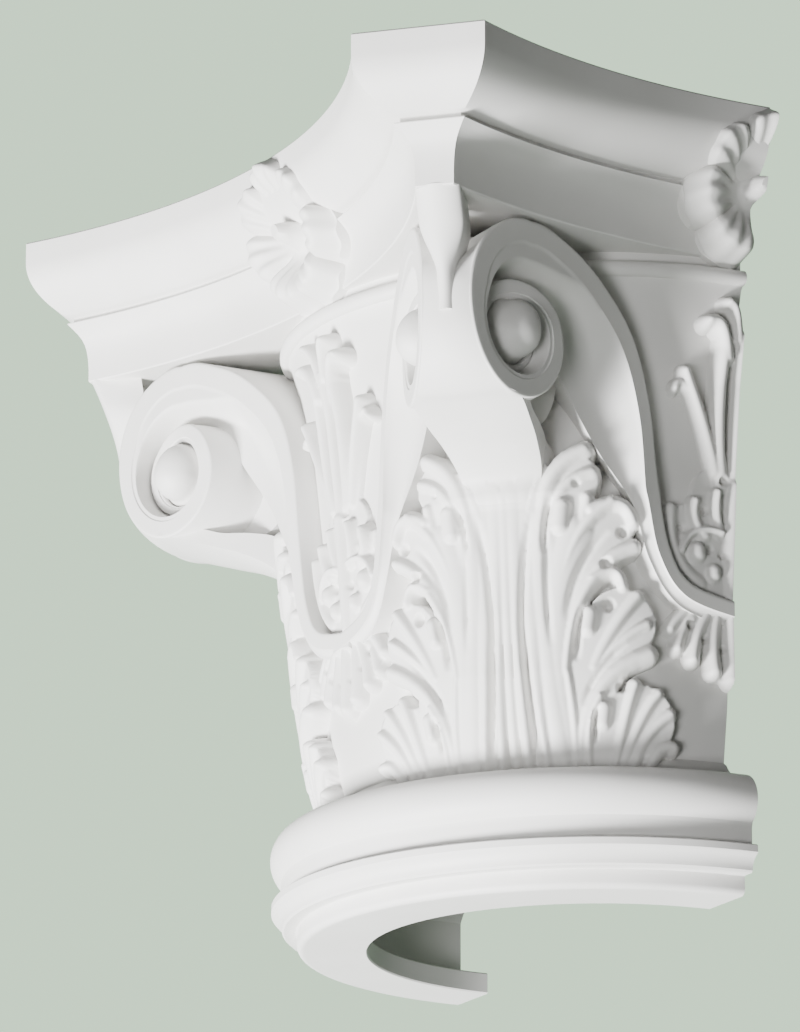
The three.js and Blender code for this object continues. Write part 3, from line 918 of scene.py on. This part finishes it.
CAMERA_YAW = math.radians(62.5)
CAMERA_PITCH = math.radians(15.5)
CAMERA_PLACE = (2.8363, -1.5779 + BACK, -0.6909)
CAMERA_LENS = 250.6
LAMP_TARGET = (0, 0, 0.2)
FLOOR_HEIGHT = -4.0
WALL_DISTANCE, WALL_HALF_WIDTH = 12.0, 8.7


def plain_material(name, code):
    """Matte painted board: one even pale colour."""
    material = bpy.data.materials.new(name)
    material.use_nodes = True
    shader = material.node_tree.nodes["Principled BSDF"]
    shader.inputs["Base Color"].default_value = linear(code)
    shader.inputs["Roughness"].default_value = 1.0
    return material


def floor():
    """A plain pale floor, well below, because the capital is seen from underneath."""
    bm = bmesh.new()
    bmesh.ops.create_grid(bm, x_segments=1, y_segments=1, size=30.0)
    bmesh.ops.translate(bm, verts=bm.verts[:], vec=(0, 0, FLOOR_HEIGHT))
    mesh = bpy.data.meshes.new("floor")
    bm.to_mesh(mesh)
    bm.free()
    mesh.materials.append(plain_material("pale_floor_paint", "#D9DED9"))
    piece = bpy.data.objects.new("floor", mesh)
    bpy.context.collection.objects.link(piece)


def area_light(name, place, size, power):
    """A square lamp turned towards the middle of the capital."""
    lamp = bpy.data.lights.new(name, "AREA")
    lamp.shape = "SQUARE"
    lamp.size = size
    lamp.energy = power
    light = bpy.data.objects.new(name, lamp)
    light.location = place
    light.rotation_euler = (Vector(LAMP_TARGET) - Vector(place)).to_track_quat("-Z", "Y").to_euler()
    bpy.context.collection.objects.link(light)


def backdrop():
    """An evenly lit pale green wall far behind the capital."""
    bm = bmesh.new()
    bmesh.ops.create_grid(bm, x_segments=1, y_segments=1, size=WALL_HALF_WIDTH)
    view = Matrix.Rotation(CAMERA_YAW, 4, "Z") @ Matrix.Rotation(math.pi / 2 + CAMERA_PITCH, 4, "X")
    away = view @ Vector((0, 0, -WALL_DISTANCE))
    bmesh.ops.transform(bm, matrix=Matrix.Translation(away) @ view, verts=bm.verts[:])
    mesh = bpy.data.meshes.new("backdrop")
    bm.to_mesh(mesh)
    bm.free()
    material = plain_material("pale_green_wall", "#000000")
    shader = material.node_tree.nodes["Principled BSDF"]
    shader.inputs["Emission Color"].default_value = linear("#B6D0B4")
    shader.inputs["Emission Strength"].default_value = 2.05
    mesh.materials.append(material)
    piece = bpy.data.objects.new("backdrop", mesh)
    bpy.context.collection.objects.link(piece)


def studio():
    """A broad lamp in front and low, and a weak even fill that leaves the right side in shade."""
    world = bpy.data.worlds.new("studio")
    world.use_nodes = True
    sky = world.node_tree.nodes["Background"]
    sky.inputs["Color"].default_value = linear("#F2F2F2")
    sky.inputs["Strength"].default_value = 0.07
    bpy.context.scene.world = world
    area_light("key", (0.2, -2.9, -1.9), 1.0, 620)
    area_light("fill", (2.2, -2.1, -0.9), 0.9, 52)


def camera():
    """A long lens from the right, looking up from below the lower bed."""
    data = bpy.data.cameras.new("camera")
    data.sensor_width = 36.0
    data.lens = CAMERA_LENS
    data.clip_end = 100.0
    eye = bpy.data.objects.new("camera", data)
    eye.location = CAMERA_PLACE
    eye.rotation_euler = (math.pi / 2 + CAMERA_PITCH, 0, CAMERA_YAW)
    bpy.context.collection.objects.link(eye)
    bpy.context.scene.camera = eye


floor()
backdrop()
studio()
camera()
